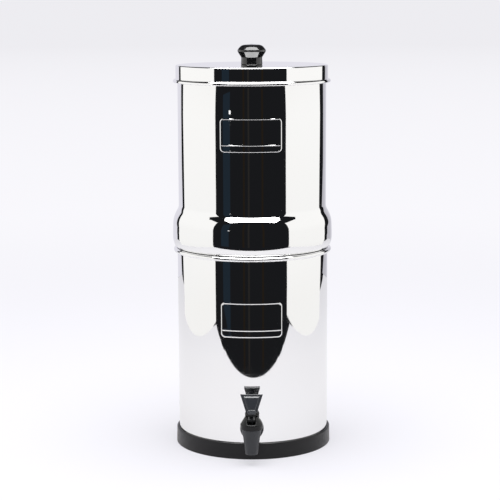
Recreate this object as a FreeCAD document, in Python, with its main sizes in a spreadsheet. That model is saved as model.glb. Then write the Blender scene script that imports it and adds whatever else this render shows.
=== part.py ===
import FreeCAD, Part
import math
import os
import re
import Sketcher

# Gravity water filter: two nested steel chambers, a lid with a knob, two carbon elements and a tap.
# Millimetres. The origin is the centre of the base ring's underside, +Z is up, the tap faces -Y.

doc = FreeCAD.newDocument("gravity_water_filter")

# Driving dimensions

sheet = doc.addObject("Spreadsheet::Sheet", "size")

SIZES = {
    # Base ring
    "ring_radius": 94.1,
    "ring_top": 19.5,
    "ring_ledge": 6.0,
    "ring_inside": 84.0,
    "ring_round": 1.6,
    # Steel chambers
    "steel": 0.8,
    "floor_bend": 4.0,
    "lower_radius": 90.8,
    "lower_rim": 238.9,
    "lower_bead": 2.3,
    "neck_radius": 88.9,
    "neck_bottom": 223.0,
    "seat_height": 241.3,
    "neck_bend": 1.0,
    "bulge_radius": 96.4,
    "bulge_bend": 6.4,
    "shoulder_bottom": 275.5,
    "shoulder_top": 288.5,
    "shoulder_bend": 11.0,
    "upper_radius": 88.2,
    "mouth_radius": 89.5,
    "upper_rim": 440.2,
    "upper_bead": 1.7,
    # Lid and knob
    "lid_edge_radius": 94.7,
    "lid_hem": 1.5,
    "lid_edge_bottom": 439.2,
    "lid_edge_top": 443.3,
    "lid_radius": 90.8,
    "lid_top": 460.5,
    "lid_bend": 2.6,
    "knob_height": 24.5,
    "knob_head": 17.9,
    "knob_neck": 12.6,
    "knob_screw_radius": 2.5,
    "knob_screw_length": 14.0,
    # Filter elements
    "element_radius": 28.5,
    "element_height": 174.0,
    "element_wall": 12.0,
    "element_offset": 45.0,
    "element_base": 12.0,
    "stem_radius": 5.0,
    "stem_length": 30.0,
    "seal_radius": 14.0,
    "seal_height": 2.2,
    "wing_hub": 9.0,
    "wing_hub_height": 8.5,
    "wing_span": 19.0,
    "wing_height": 13.0,
    "wing_thickness": 3.0,
    # Tap
    "inlet_height": 38.5,
    "inlet_bore": 4.5,
    "shank_radius": 8.0,
    "shank_reach": 18.0,
    "wall_hole": 8.4,
    "flange_radius": 13.9,
    "flange_height": 3.4,
    "gasket": 2.4,
    "tap_neck": 8.6,
    "tap_reach": 116.0,
    "nut_width": 24.0,
    "nut_height": 7.0,
    "spout_bottom": 13.4,
    "spout_radius": 7.5,
    "spout_bore": 5.2,
    "barrel_bottom": 33.0,
    "barrel_radius": 9.7,
    "barrel_shoulder": 43.6,
    "shoulder_radius": 11.9,
    "thread_radius": 10.8,
    "thread_gap": 0.3,
    "barrel_top": 48.6,
    "chamber_radius": 9.0,
    "chamber_floor": 31.5,
    "seat_bottom": 29.0,
    # Bonnet
    "bonnet_radius": 13.2,
    "bonnet_skirt": 49.4,
    "bonnet_top": 58.4,
    "bonnet_mouth": 7.6,
    "dish_floor": 50.6,
    "dish_radius": 8.8,
    "bonnet_slot": 10.4,
    # Handle and valve
    "pin_height": 55.2,
    "pin_radius": 1.25,
    "pin_length": 8.2,
    "cam_radius": 4.2,
    "cam_offset": 2.8,
    "handle_neck": 8.6,
    "handle_lean": 15.0,
    "paddle_low": 6.6,
    "paddle_high": 28.2,
    "paddle_low_half": 6.3,
    "paddle_high_half": 12.65,
    "paddle_thickness": 4.2,
    "paddle_rim": 1.9,
    "paddle_groove": 1.3,
    "paddle_depth": 0.9,
    "paddle_back": 1.5,
    "paddle_bar": 4.4,
    "paddle_rib": 4.0,
    "paddle_edge": 1.4,
    "valve_stem": 2.4,
    "eye_radius": 2.6,
    "eye_width": 3.2,
    "flat_bottom": 48.4,
    "cup_radius": 8.0,
    "cup_bottom": 29.3,
    "cup_top": 35.0,
    "spring_radius": 5.4,
    "spring_wire": 0.5,
    "spring_top": 48.3,
}

for row, (alias, number) in enumerate(SIZES.items(), start=1):
    sheet.set("A%d" % row, alias)
    sheet.set("B%d" % row, str(number))
    sheet.setAlias("B%d" % row, alias)
doc.recompute()

# A probe reads the value of an expression, so that a sketch is drawn close to its bound size.

probe = doc.addObject("App::FeaturePython", "probe")
probe.addProperty("App::PropertyFloat", "Reading")


def number_of(expression):
    """The present value of an expression written in the sheet's names."""
    probe.setExpression("Reading", expression)
    probe.recompute()
    return probe.Reading


def named(expression):
    """Expressions are written with bare names here, and bound with the sheet's name in front."""
    return re.sub("[a-z_]+", lambda word: "size." + word[0] if word[0] in SIZES else word[0], expression)


# Sketches

def plane_of(body, role):
    for feature in body.Origin.OriginFeatures:
        if feature.Role == role:
            return feature
    raise ValueError("no plane " + role)


def new_body(label):
    body = doc.addObject("PartDesign::Body", label)
    body.Label = label
    return body


def new_sketch(body, role, name, offset=None, turn=None):
    """A sketch on one of the body's own planes, lifted by an offset (x, y, z) in the plane's frame."""
    sketch = body.newObject("Sketcher::SketchObject", name)
    sketch.AttachmentSupport = [(plane_of(body, role), "")]
    sketch.MapMode = "FlatFace"
    for axis, expression in zip("xyz", offset or ("0", "0", "0")):
        if expression != "0":
            sketch.setExpression("AttachmentOffset.Base." + axis, named(expression))
    if turn:
        sketch.AttachmentOffset = FreeCAD.Placement(
            sketch.AttachmentOffset.Base, FreeCAD.Rotation(FreeCAD.Vector(1, 0, 0), -number_of(named(turn))))
    return sketch


def bind(sketch, kind, first, second, expression):
    index = sketch.addConstraint(Sketcher.Constraint(kind, *first, *second, number_of(expression)))
    sketch.setExpression("Constraints[%d]" % index, expression)


def hold_point(sketch, geometry, end, across, along):
    """Ties a point to the origin by its two distances, or to an axis where a distance is nought."""
    for kind, expression, axis in (("DistanceX", across, -2), ("DistanceY", along, -1)):
        if abs(number_of(expression)) < 1e-9:
            sketch.addConstraint(Sketcher.Constraint("PointOnObject", geometry, end, axis))
        else:
            bind(sketch, kind, (-1, 1), (geometry, end), expression)


def outline(sketch, corners):
    """Closed outline through corners (across, along, optional bend radius), tangent arcs at the bends."""
    corners = [tuple(named(part) for part in corner) for corner in corners]
    places = [FreeCAD.Vector(number_of(c[0]), number_of(c[1]), 0) for c in corners]
    count = len(corners)
    leave, arrive, arcs = [], [], []
    for i in range(count):
        before = (places[i - 1] - places[i]).normalize()
        after = (places[(i + 1) % count] - places[i]).normalize()
        if len(corners[i]) == 2:
            arrive.append(places[i])
            leave.append(places[i])
            arcs.append(None)
            continue
        radius = number_of(corners[i][2])
        half = before.getAngle(after) / 2
        arrive.append(places[i] + before * (radius / math.tan(half)))
        leave.append(places[i] + after * (radius / math.tan(half)))
        centre = places[i] + (before + after).normalize() * (radius / math.sin(half))
        left_turn = before.cross(after).z < 0
        first, last = (arrive[i], leave[i]) if left_turn else (leave[i], arrive[i])
        start = math.atan2(first.y - centre.y, first.x - centre.x)
        stop = math.atan2(last.y - centre.y, last.x - centre.x)
        arcs.append((Part.ArcOfCircle(Part.Circle(centre, FreeCAD.Vector(0, 0, 1), radius), start, stop),
                     left_turn))
    sides = [sketch.addGeometry(Part.LineSegment(leave[i], arrive[(i + 1) % count]), False)
             for i in range(count)]
    for i in range(count):
        into, out = sides[i - 1], sides[i]
        if arcs[i] is None:
            sketch.addConstraint(Sketcher.Constraint("Coincident", into, 2, out, 1))
            hold_point(sketch, out, 1, corners[i][0], corners[i][1])
            continue
        arc, left_turn = arcs[i]
        bend = sketch.addGeometry(arc, False)
        near, far = (1, 2) if left_turn else (2, 1)
        sketch.addConstraint(Sketcher.Constraint("Tangent", into, 2, bend, near))
        sketch.addConstraint(Sketcher.Constraint("Tangent", bend, far, out, 1))
        index = sketch.addConstraint(Sketcher.Constraint("Radius", bend, number_of(corners[i][2])))
        sketch.setExpression("Constraints[%d]" % index, corners[i][2])
        corner = sketch.addGeometry(Part.Point(places[i]), True)
        hold_point(sketch, corner, 1, corners[i][0], corners[i][1])
        sketch.addConstraint(Sketcher.Constraint("PointOnObject", corner, 1, into))
        sketch.addConstraint(Sketcher.Constraint("PointOnObject", corner, 1, out))
    return sketch


def circle(sketch, across, along, radius):
    across, along, radius = named(across), named(along), named(radius)
    centre = FreeCAD.Vector(number_of(across), number_of(along), 0)
    ring = sketch.addGeometry(Part.Circle(centre, FreeCAD.Vector(0, 0, 1), number_of(radius)), False)
    hold_point(sketch, ring, 3, across, along)
    index = sketch.addConstraint(Sketcher.Constraint("Radius", ring, number_of(radius)))
    sketch.setExpression("Constraints[%d]" % index, radius)
    return sketch


# Features

def turned(body, sketch, axis="V_Axis", cut=False):
    kind = "PartDesign::Groove" if cut else "PartDesign::Revolution"
    feature = body.newObject(kind, sketch.Name + ("_groove" if cut else "_turned"))
    feature.Profile = sketch
    feature.ReferenceAxis = (sketch, [axis])
    feature.Angle = 360
    sketch.Visibility = False
    doc.recompute()
    return feature


def padded_out(body, sketch, length, middle=False, reverse=False):
    feature = body.newObject("PartDesign::Pad", sketch.Name + "_pad")
    feature.Profile = sketch
    feature.setExpression("Length", named(length))
    feature.SideType = "Symmetric" if middle else "One side"
    feature.Reversed = reverse
    doc.recompute()
    return feature


def pocketed(body, sketch, length=None, middle=False, reverse=False):
    """A pocket that has to take something away: the solid's volume is compared."""
    before = body.Shape.Volume
    feature = body.newObject("PartDesign::Pocket", sketch.Name + "_pocket")
    feature.Profile = sketch
    if length is None:
        feature.Type = "ThroughAll"
    else:
        feature.setExpression("Length", named(length))
    feature.SideType = "Symmetric" if middle else "One side"
    feature.Reversed = reverse
    doc.recompute()
    if not body.Shape.Volume < before - 0.01:
        raise ValueError(sketch.Name + " cuts nothing")
    return feature


def revolved_body(label, corners):
    body = new_body(label)
    turned(body, outline(new_sketch(body, "XZ_Plane", label + "_profile"), corners))
    return body


def place(item, across="0", along="0", up="0"):
    for axis, expression in zip("xyz", (across, along, up)):
        if expression != "0":
            item.setExpression("Placement.Base." + axis, named(expression))
    doc.recompute()


def hollowed(body, top_height):
    """Sheet steel: the solid is opened at its flat top and its wall is left one sheet thick."""
    base = body.Tip
    top_names = []
    for index, face in enumerate(base.Shape.Faces, start=1):
        flat = abs(face.BoundBox.ZMax - face.BoundBox.ZMin) < 1e-4
        if flat and abs(face.BoundBox.ZMax - top_height) < 1e-3:
            top_names.append("Face%d" % index)
    feature = body.newObject("PartDesign::Thickness", body.Label + "_wall")
    feature.Base = (base, top_names)
    feature.setExpression("Value", named("steel"))
    feature.Reversed = True
    feature.Join = 1
    doc.recompute()
    return feature


# Base ring: black rubber, an L section that the lower chamber stands in.

base_ring = revolved_body("base_ring", [
    ("ring_inside", "0"),
    ("ring_radius", "0", "ring_round / 2"),
    ("ring_radius - 0.4", "ring_top", "ring_round"),
    ("lower_radius", "ring_top"),
    ("lower_radius", "ring_ledge"),
    ("ring_inside", "ring_ledge"),
])

# Lower chamber: a drawn steel pot with a rolled rim and the tap's hole.

lower_chamber = revolved_body("lower_chamber", [
    ("0", "ring_ledge"),
    ("lower_radius", "ring_ledge", "floor_bend"),
    ("lower_radius", "lower_rim"),
    ("0", "lower_rim"),
])
hollowed(lower_chamber, SIZES["lower_rim"])
rim = new_sketch(lower_chamber, "XZ_Plane", "lower_rim_roll")
circle(rim, "lower_radius - steel + lower_bead + 0.1", "lower_rim", "lower_bead")
turned(lower_chamber, rim)
tap_hole = new_sketch(lower_chamber, "XZ_Plane", "tap_hole")
circle(tap_hole, "0", "inlet_height", "wall_hole")
pocketed(lower_chamber, tap_hole, "lower_radius + 5", reverse=True)

# Upper chamber: its neck nests in the lower one, and the bulge over it rests on the rolled rim.

upper_chamber = revolved_body("upper_chamber", [
    ("0", "neck_bottom"),
    ("neck_radius", "neck_bottom", "floor_bend"),
    ("neck_radius", "seat_height", "neck_bend"),
    ("bulge_radius", "seat_height", "bulge_bend"),
    ("bulge_radius", "shoulder_bottom", "shoulder_bend"),
    ("upper_radius", "shoulder_top", "shoulder_bend"),
    ("mouth_radius", "upper_rim"),
    ("0", "upper_rim"),
])
hollowed(upper_chamber, SIZES["upper_rim"])
mouth = new_sketch(upper_chamber, "XZ_Plane", "upper_rim_roll")
circle(mouth, "mouth_radius - steel + upper_bead + 0.1", "upper_rim", "upper_bead")
turned(upper_chamber, mouth)
for side, sign in (("left", "-"), ("right", "")):
    stem_hole = new_sketch(upper_chamber, "XY_Plane", "stem_hole_" + side, ("0", "0", "neck_bottom - 5"))
    circle(stem_hole, "0 " + (sign or "+") + " element_offset", "0", "stem_radius + 0.2")
    pocketed(upper_chamber, stem_hole, "10", reverse=True)

# Filter elements: carbon candles on plastic bases, whose stems pass through the chamber's floor.

for side, sign in (("left", "-"), ("right", "")):
    element = revolved_body("carbon_element_" + side, [
        ("element_radius - element_wall", "0"),
        ("element_radius", "0", "1"),
        ("element_radius", "element_height", "5"),
        ("0", "element_height"),
        ("0", "element_height - element_wall"),
        ("element_radius - element_wall", "element_height - element_wall", "3"),
    ])
    place(element, sign + "element_offset" if sign else "element_offset", "0",
          "neck_bottom + steel + seal_height + element_base")
    foot = revolved_body("element_base_" + side, [
        ("inlet_bore - 1.5", "0 - stem_length"),
        ("stem_radius", "0 - stem_length", "0.6"),
        ("stem_radius", "0"),
        ("seal_radius + 1", "0", "1"),
        ("seal_radius + 1", "element_base / 3"),
        ("element_radius + 0.7", "element_base / 3", "1.5"),
        ("element_radius + 0.7", "element_base"),
        ("inlet_bore - 1.5", "element_base"),
    ])
    place(foot, sign + "element_offset" if sign else "element_offset", "0", "neck_bottom + steel + seal_height")


def pair(label, item):
    """A node that holds one piece and its twin under the other filter element."""
    twin = doc.addObject("Part::Mirroring", label + "_twin")
    twin.Source = item
    twin.Normal = FreeCAD.Vector(1, 0, 0)
    twin.Base = FreeCAD.Vector(0, 0, 0)
    group = doc.addObject("Part::Compound", label)
    group.Label = label
    group.Links = [item, twin]
    doc.recompute()
    return group


seal = revolved_body("element_seal_right", [
    ("stem_radius + 0.1", "0"),
    ("seal_radius", "0", "0.5"),
    ("seal_radius", "seal_height", "0.5"),
    ("stem_radius + 0.1", "seal_height"),
])
place(seal, "element_offset", "0", "neck_bottom + steel")
element_seals = pair("element_seals", seal)

wing_nut = revolved_body("wing_nut_right", [
    ("stem_radius + 0.05", "0 - wing_hub_height"),
    ("wing_hub - 1.5", "0 - wing_hub_height", "1"),
    ("wing_hub", "0"),
    ("stem_radius + 0.05", "0"),
])
wings = new_sketch(wing_nut, "XZ_Plane", "wings")
outline(wings, [
    ("0 - wing_hub + 2", "-1.5"),
    ("0 - wing_span", "-4", "2"),
    ("0 - wing_span", "0 - wing_height", "3"),
    ("0 - wing_hub - 1", "0 - wing_height", "3"),
    ("0 - wing_hub + 2", "0 - wing_hub_height + 1"),
])
outline(wings, [
    ("wing_hub - 2", "-1.5"),
    ("wing_span", "-4", "2"),
    ("wing_span", "0 - wing_height", "3"),
    ("wing_hub + 1", "0 - wing_height", "3"),
    ("wing_hub - 2", "0 - wing_hub_height + 1"),
])
padded_out(wing_nut, wings, "wing_thickness", middle=True)
place(wing_nut, "element_offset", "0", "neck_bottom")
element_wing_nuts = pair("element_wing_nuts", wing_nut)

# Lid: a pressed steel cap whose hemmed edge drops over the upper chamber's rolled rim.

lid_pan = revolved_body("lid_pan", [
    ("0", "lid_top"),
    ("lid_radius", "lid_top", "lid_bend"),
    ("lid_radius", "lid_edge_top", "1"),
    ("lid_edge_radius", "lid_edge_top", "1.4"),
    ("lid_edge_radius", "lid_edge_bottom", "0.7"),
    ("lid_edge_radius - lid_hem", "lid_edge_bottom", "0.7"),
    ("lid_edge_radius - lid_hem", "lid_edge_top - steel", "0.5"),
    ("lid_radius - steel", "lid_edge_top - steel", "1.4"),
    ("lid_radius - steel", "lid_top - steel", "lid_bend - steel"),
    ("0", "lid_top - steel"),
])
knob_hole = new_sketch(lid_pan, "XY_Plane", "knob_hole", ("0", "0", "lid_top + 5"))
circle(knob_hole, "0", "0", "knob_screw_radius + 0.2")
pocketed(lid_pan, knob_hole, "10")

lid_knob = revolved_body("lid_knob", [
    ("knob_screw_radius + 0.1", "0"),
    ("knob_neck + 0.4", "0", "0.8"),
    ("knob_neck", "8.6", "3"),
    ("knob_head", "knob_height * 0.68", "2.2"),
    ("knob_head * 0.7", "knob_height * 0.95", "9"),
    ("0", "knob_height"),
    ("0", "knob_screw_length"),
    ("knob_screw_radius + 0.1", "knob_screw_length"),
])
place(lid_knob, "0", "0", "lid_top")

knob_washer = revolved_body("knob_washer", [
    ("knob_screw_radius + 0.2", "-1.2"),
    ("knob_screw_radius + 5.5", "-1.2", "0.3"),
    ("knob_screw_radius + 5.5", "0"),
    ("knob_screw_radius + 0.2", "0"),
])
place(knob_washer, "0", "0", "lid_top - steel")

knob_screw = revolved_body("knob_screw", [
    ("0", "-2.6"),
    ("knob_screw_radius * 2", "-2.6", "1.6"),
    ("knob_screw_radius * 2", "0"),
    ("knob_screw_radius", "0"),
    ("knob_screw_radius", "knob_screw_length + 1.2"),
    ("0", "knob_screw_length + 1.2"),
])
driver_slot = new_sketch(knob_screw, "XZ_Plane", "driver_slot")
outline(driver_slot, [("-6", "-3"), ("6", "-3"), ("6", "-1.5"), ("-6", "-1.5")])
pocketed(knob_screw, driver_slot, "1.1", middle=True)
place(knob_screw, "0", "0", "lid_top - steel - 1.2")

# Tap body: spout and barrel turned about the upright axis, flange and shank about the inlet's axis.

tap_body = revolved_body("tap_body", [
    ("0", "spout_bottom"),
    ("spout_radius", "spout_bottom", "0.8"),
    ("barrel_radius", "barrel_bottom", "20"),
    ("shoulder_radius", "barrel_shoulder"),
    ("thread_radius", "barrel_shoulder"),
    ("thread_radius", "barrel_top"),
    ("0", "barrel_top"),
])
shank = new_sketch(tap_body, "YZ_Plane", "shank", ("0", "inlet_height", "0"))
outline(shank, [
    ("0", "0"),
    ("tap_reach - lower_radius + steel + shank_reach", "0"),
    ("tap_reach - lower_radius + steel + shank_reach", "shank_radius", "0.8"),
    ("tap_reach - lower_radius - gasket", "shank_radius"),
    ("tap_reach - lower_radius - gasket", "flange_radius", "0.5"),
    ("tap_reach - lower_radius - gasket - flange_height", "flange_radius", "1"),
    ("tap_reach - lower_radius - gasket - flange_height", "tap_neck", "1.5"),
    ("0", "tap_neck"),
])
turned(tap_body, shank, "H_Axis")
valve_room = new_sketch(tap_body, "XZ_Plane", "valve_room")
outline(valve_room, [
    ("0", "spout_bottom - 1"),
    ("spout_bore", "spout_bottom - 1"),
    ("spout_bore", "seat_bottom"),
    ("chamber_radius", "chamber_floor"),
    ("chamber_radius", "barrel_top + 1"),
    ("0", "barrel_top + 1"),
])
turned(tap_body, valve_room, cut=True)
bonnet_relief = new_sketch(tap_body, "XZ_Plane", "bonnet_relief")
outline(bonnet_relief, [
    ("thread_radius", "barrel_shoulder"),
    ("bonnet_radius + thread_gap", "barrel_shoulder"),
    ("bonnet_radius + thread_gap", "barrel_top + 1"),
    ("thread_radius", "barrel_top + 1"),
])
turned(tap_body, bonnet_relief, cut=True)
inlet = new_sketch(tap_body, "YZ_Plane", "inlet", ("0", "inlet_height", "0"))
outline(inlet, [
    ("chamber_radius - 3", "0"),
    ("tap_reach - lower_radius + steel + shank_reach + 1", "0"),
    ("tap_reach - lower_radius + steel + shank_reach + 1", "inlet_bore"),
    ("chamber_radius - 3", "inlet_bore"),
])
turned(tap_body, inlet, "H_Axis", cut=True)
place(tap_body, "0", "0 - tap_reach", "0")

# Rubber washers each side of the wall, cut to the chamber's curve, and the nut on the shank.

outer_washer = new_body("tap_outer_washer")
ring = new_sketch(outer_washer, "XZ_Plane", "outer_ring", ("0", "0", "lower_radius + gasket"))
circle(ring, "0", "inlet_height", "flange_radius - 0.4")
circle(ring, "0", "inlet_height", "shank_radius + 0.1")
padded_out(outer_washer, ring, "gasket + 2", reverse=True)
saddle = new_sketch(outer_washer, "XY_Plane", "outer_saddle")
circle(saddle, "0", "0", "lower_radius")
pocketed(outer_washer, saddle, "200", middle=True)

inner_washer = new_body("tap_inner_washer")
ring = new_sketch(inner_washer, "XZ_Plane", "inner_ring", ("0", "0", "lower_radius - steel - gasket - 1"))
circle(ring, "0", "inlet_height", "flange_radius - 0.9")
circle(ring, "0", "inlet_height", "shank_radius + 0.1")
padded_out(inner_washer, ring, "gasket + 4")
saddle = new_sketch(inner_washer, "XY_Plane", "inner_saddle")
circle(saddle, "0", "0", "lower_radius - steel")
circle(saddle, "0", "0", "lower_radius + 20")
pocketed(inner_washer, saddle, "200", middle=True)

tap_nut = new_body("tap_nut")
hexagon = new_sketch(tap_nut, "XZ_Plane", "hexagon", ("0", "0", "lower_radius - steel - gasket - 1"))
corner = "nut_width * 0.57735"
outline(hexagon, [
    ("0 - " + corner, "inlet_height"),
    ("0 - " + corner + " / 2", "inlet_height - nut_width / 2"),
    (corner + " / 2", "inlet_height - nut_width / 2"),
    (corner, "inlet_height"),
    (corner + " / 2", "inlet_height + nut_width / 2"),
    ("0 - " + corner + " / 2", "inlet_height + nut_width / 2"),
])
circle(hexagon, "0", "inlet_height", "shank_radius + 0.05")
padded_out(tap_nut, hexagon, "nut_height", reverse=True)

# Bonnet: the cap nut on the barrel. Its top is a dish with a front slot, where the handle's cam rolls.

bonnet = revolved_body("tap_bonnet", [
    ("thread_radius + thread_gap", "barrel_shoulder"),
    ("bonnet_radius - 0.3", "barrel_shoulder", "0.5"),
    ("bonnet_radius", "bonnet_skirt", "1.5"),
    ("bonnet_mouth", "bonnet_top", "0.8"),
    ("bonnet_mouth - 1.6", "bonnet_top", "0.4"),
    ("dish_radius", "dish_floor + 1.4"),
    ("dish_radius - 1", "dish_floor"),
    ("valve_stem + 0.3", "dish_floor"),
    ("valve_stem + 0.3", "barrel_top"),
    ("thread_radius + thread_gap", "barrel_top"),
])
slot = new_sketch(bonnet, "XZ_Plane", "handle_slot")
outline(slot, [
    ("0 - bonnet_slot / 2", "dish_floor", "1"),
    ("bonnet_slot / 2", "dish_floor", "1"),
    ("bonnet_slot / 2", "bonnet_top + 1"),
    ("0 - bonnet_slot / 2", "bonnet_top + 1"),
])
pocketed(bonnet, slot, "bonnet_radius + 2", reverse=True)
place(bonnet, "0", "0 - tap_reach", "0")

# Handle: a cam and neck on the pin, and a tapered paddle that leans back over them.

handle = new_body("tap_handle")
neck = new_sketch(handle, "YZ_Plane", "neck")
outline(neck, [
    ("0 - cam_offset - cam_radius", "0 - cam_radius", "cam_radius - 0.01"),
    ("cam_radius - cam_offset + 1.4", "0 - cam_radius", "2.4"),
    ("3.2", "3"),
    ("4.6", "paddle_low + 3"),
    ("-1.2", "paddle_low + 4"),
    ("0 - cam_offset - cam_radius + 2.2", "3.5", "2"),
    ("0 - cam_offset - cam_radius", "0"),
])
padded_out(handle, neck, "handle_neck", middle=True)
paddle = new_sketch(handle, "XZ_Plane", "paddle", turn="handle_lean")
outline(paddle, [
    ("0 - paddle_low_half", "paddle_low", "1"),
    ("paddle_low_half", "paddle_low", "1"),
    ("paddle_high_half", "paddle_high", "0.8"),
    ("0 - paddle_high_half", "paddle_high", "0.8"),
])
padded_out(handle, paddle, "paddle_thickness", middle=True)


def on_paddle(name, depth):
    """A sketch parallel to the leaning paddle, at a depth from its middle plane towards the front."""
    return new_sketch(handle, "XZ_Plane", name,
                      ("0", "(" + depth + ") * sin(handle_lean)", "(" + depth + ") * cos(handle_lean)"),
                      turn="handle_lean")


SLOPE = "(paddle_high_half - paddle_low_half) / (paddle_high - paddle_low)"
groove = on_paddle("paddle_groove", "paddle_thickness / 2 - paddle_depth")
for inset in ("paddle_rim", "(paddle_rim + paddle_groove)"):
    low = "paddle_low_half + " + inset + " * (" + SLOPE + " - 1.05)"
    high = "paddle_high_half - " + inset + " * (" + SLOPE + " + 1.05)"
    outline(groove, [
        ("0 - (" + low + ")", "paddle_low + " + inset, "0.3"),
        (low, "paddle_low + " + inset, "0.3"),
        (high, "paddle_high - " + inset, "0.3"),
        ("0 - (" + high + ")", "paddle_high - " + inset, "0.3"),
    ])
pocketed(handle, groove, "paddle_depth + 1", reverse=True)
hollows = on_paddle("back_hollows", "paddle_back - paddle_thickness / 2")
for sign in ("", "0 - "):
    outline(hollows, [
        (sign + "paddle_rib", "paddle_low + 6"),
        (sign + "(paddle_low_half + 6 * " + SLOPE + " - paddle_edge)", "paddle_low + 6"),
        (sign + "(paddle_high_half - paddle_bar * " + SLOPE + " - paddle_edge)", "paddle_high - paddle_bar"),
        (sign + "paddle_rib", "paddle_high - paddle_bar"),
    ])
pocketed(handle, hollows, "paddle_back + 2")
fork = new_sketch(handle, "XZ_Plane", "fork")
outline(fork, [
    ("0 - eye_width / 2 - 0.4", "0 - cam_radius - 2"),
    ("eye_width / 2 + 0.4", "0 - cam_radius - 2"),
    ("eye_width / 2 + 0.4", "eye_radius + 0.9"),
    ("0 - eye_width / 2 - 0.4", "eye_radius + 0.9"),
])
pocketed(handle, fork, "40", middle=True)
pin_hole = new_sketch(handle, "YZ_Plane", "pin_hole")
circle(pin_hole, "0", "0", "pin_radius")
pocketed(handle, pin_hole, "30", middle=True)
place(handle, "0", "0 - tap_reach", "pin_height")

handle_pin = new_body("handle_pin")
pin = new_sketch(handle_pin, "YZ_Plane", "pin")
circle(pin, "0", "0", "pin_radius")
padded_out(handle_pin, pin, "pin_length", middle=True)
place(handle_pin, "0", "0 - tap_reach", "pin_height")

# Valve: a stem with a flat eye for the pin, a rubber cup on its foot, and the closing spring.

valve_stem = revolved_body("valve_stem", [
    ("0", "cup_bottom + 1.7"),
    ("valve_stem", "cup_bottom + 1.7"),
    ("valve_stem", "pin_height - eye_radius"),
    ("0", "pin_height - eye_radius"),
])
eye = new_sketch(valve_stem, "YZ_Plane", "eye")
outline(eye, [
    ("0 - eye_radius", "dish_floor + 0.7"),
    ("eye_radius", "dish_floor + 0.7"),
    ("eye_radius", "pin_height + eye_radius", "eye_radius - 0.01"),
    ("0 - eye_radius", "pin_height + eye_radius", "eye_radius - 0.01"),
])
padded_out(valve_stem, eye, "eye_width", middle=True)
eye_hole = new_sketch(valve_stem, "YZ_Plane", "eye_hole")
circle(eye_hole, "0", "pin_height", "pin_radius + 0.05")
pocketed(valve_stem, eye_hole, "20", middle=True)
flats = new_sketch(valve_stem, "XZ_Plane", "stem_flats")
for sign in ("", "0 - "):
    outline(flats, [
        (sign + "eye_width / 2", "flat_bottom"),
        (sign + "(valve_stem + 1)", "flat_bottom"),
        (sign + "(valve_stem + 1)", "pin_height"),
        (sign + "eye_width / 2", "pin_height"),
    ])
pocketed(valve_stem, flats, "20", middle=True)
place(valve_stem, "0", "0 - tap_reach", "0")

seat_cup = revolved_body("seat_cup", [
    ("0", "cup_bottom"),
    ("cup_radius - 3.1", "cup_bottom"),
    ("cup_radius", "cup_bottom + 2.05"),
    ("cup_radius", "cup_top", "0.6"),
    ("valve_stem + 1.5", "cup_top"),
    ("valve_stem + 1.5", "cup_top + 2", "0.5"),
    ("valve_stem", "cup_top + 2"),
    ("valve_stem", "cup_bottom + 1.7"),
    ("0", "cup_bottom + 1.7"),
])
place(seat_cup, "0", "0 - tap_reach", "0")

SPRING_TURNS = 5


def coil(radius, wire, low, high, turns):
    """A round wire wound on half turns, each an arc in its own tilted plane, level where they meet."""
    half_turns = 2 * turns
    rise = (high - low) / half_turns
    arcs = []
    for i in range(half_turns):
        side = 1 if i % 2 == 0 else -1
        start = FreeCAD.Vector(side * radius, 0, low + i * rise)
        middle = FreeCAD.Vector(0, side * radius, low + (i + 0.5) * rise)
        finish = FreeCAD.Vector(-side * radius, 0, low + (i + 1) * rise)
        arcs.append(Part.Arc(start, middle, finish).toShape())
    path = Part.Wire(arcs)
    section = Part.Wire(Part.Circle(FreeCAD.Vector(radius, 0, low), FreeCAD.Vector(0, 1, 0), wire).toShape())
    print("coil turns", turns, "gap between turns", round(2 * rise - 2 * wire, 2))
    return path.makePipeShell([section], True, False)


valve_spring = doc.addObject("Part::Feature", "valve_spring")
valve_spring.Label = "valve_spring"
valve_spring.Shape = coil(sheet.spring_radius, sheet.spring_wire, sheet.cup_top + sheet.spring_wire + 0.05,
                          sheet.spring_top - sheet.spring_wire, SPRING_TURNS)
valve_spring.Placement = FreeCAD.Placement(FreeCAD.Vector(0, -sheet.tap_reach, 0), FreeCAD.Rotation())

# Checks and export

NODES = [
    "base_ring", "lower_chamber", "tap_body", "tap_outer_washer", "tap_inner_washer", "tap_nut", "tap_bonnet",
    "tap_handle", "handle_pin", "valve_stem", "seat_cup", "valve_spring",
    "upper_chamber", "carbon_element_left", "carbon_element_right", "element_base_left", "element_base_right",
    "element_seals", "element_wing_nuts",
    "lid_pan", "lid_knob", "knob_washer", "knob_screw",
]

doc.recompute()
for item in doc.Objects:
    if "Invalid" in item.State or "Error" in item.State:
        raise ValueError("failed: " + item.Label)

os.makedirs("parts", exist_ok=True)
for node in NODES:
    shape = doc.getObjectsByLabel(node)[0].Shape
    if shape.isNull() or not shape.isValid():
        raise ValueError("bad shape: " + node)
    shape.exportStep("parts/" + node + ".step")
    box = shape.BoundBox
    print("%-22s %d solid(s) %10.1f mm3  x %.1f..%.1f  y %.1f..%.1f  z %.1f..%.1f" % (
        node, len(shape.Solids), shape.Volume, box.XMin, box.XMax, box.YMin, box.YMax, box.ZMin, box.ZMax))
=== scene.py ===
import math
import bpy
import numpy as np
from mathutils import Matrix


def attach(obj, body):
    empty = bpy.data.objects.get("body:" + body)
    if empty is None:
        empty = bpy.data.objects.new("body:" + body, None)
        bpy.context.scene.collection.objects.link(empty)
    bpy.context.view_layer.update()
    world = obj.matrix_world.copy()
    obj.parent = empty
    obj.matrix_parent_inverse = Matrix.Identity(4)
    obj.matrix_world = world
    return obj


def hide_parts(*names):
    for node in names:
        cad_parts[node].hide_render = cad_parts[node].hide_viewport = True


# A gravity water filter: two nested pots of polished steel on a rubber ring, a knobbed lid and a lever tap.
# Sizes are in millimetres and become metres in the mesh. The knob is up (+Z) and the tap faces -Y.

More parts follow.
